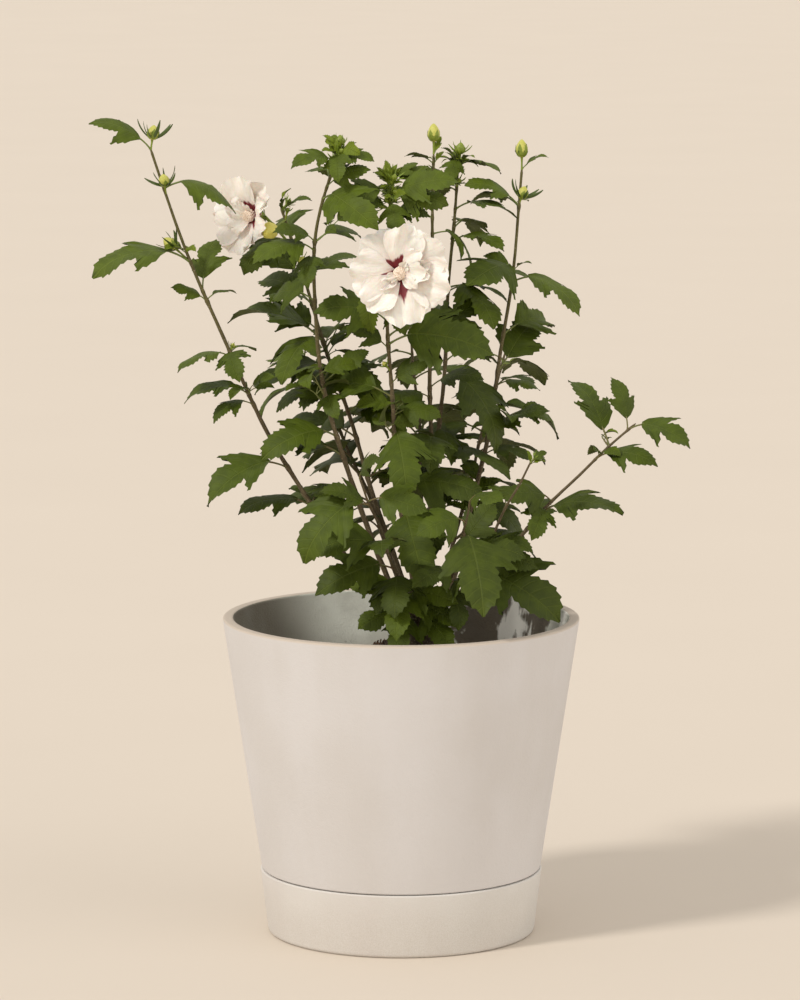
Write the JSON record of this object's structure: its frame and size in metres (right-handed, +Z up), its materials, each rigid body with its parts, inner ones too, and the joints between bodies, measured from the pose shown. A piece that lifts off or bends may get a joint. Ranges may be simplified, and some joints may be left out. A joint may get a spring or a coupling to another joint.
{
  "type": "potted hibiscus shrub",
  "caption": "Young upright hibiscus shrub with open leafy shoots, buds and double white blooms, in a plain round tapered pot standing in its saucer.",
  "frame": {"origin": "centre of the saucer's flat underside, on the ground", "axes": "+Z up, +X to the right seen from the shrub's front, +Y to its back, so the front faces -Y"},
  "size_m": [0.4957, 0.3162, 0.6888],
  "materials": {
    "pot": "matte",
    "saucer": "matte",
    "soil": "matte",
    "bark": "matte",
    "foliage": "satin"
  },
  "bodies": {
    "root": {"pot": "pot", "saucer": "saucer", "potting_soil": "soil", "root_crown": "bark", "far_left_bough": "bark", "left_bough": "bark", "mid_left_bough": "bark", "bloom_bough": "bark", "centre_bough": "bark", "mid_right_bough": "bark", "right_bough": "bark", "far_right_bough": "bark", "low_right_bough": "bark", "front_bough": "bark", "front_right_bough": "bark", "basal_bough": "bark", "back_left_bough": "bark", "back_centre_bough": "bark", "back_right_bough": "bark", "far_left_shoot": "foliage", "left_shoot": "foliage", "mid_left_shoot": "foliage", "bloom_shoot": "foliage", "centre_shoot": "foliage", "mid_right_shoot": "foliage", "right_shoot": "foliage", "far_right_shoot": "foliage", "low_right_shoot": "foliage", "front_shoot": "foliage", "front_right_shoot": "foliage", "basal_shoot": "foliage", "back_left_shoot": "foliage", "back_centre_shoot": "foliage", "back_right_shoot": "foliage"}
  },
  "joints": []
}
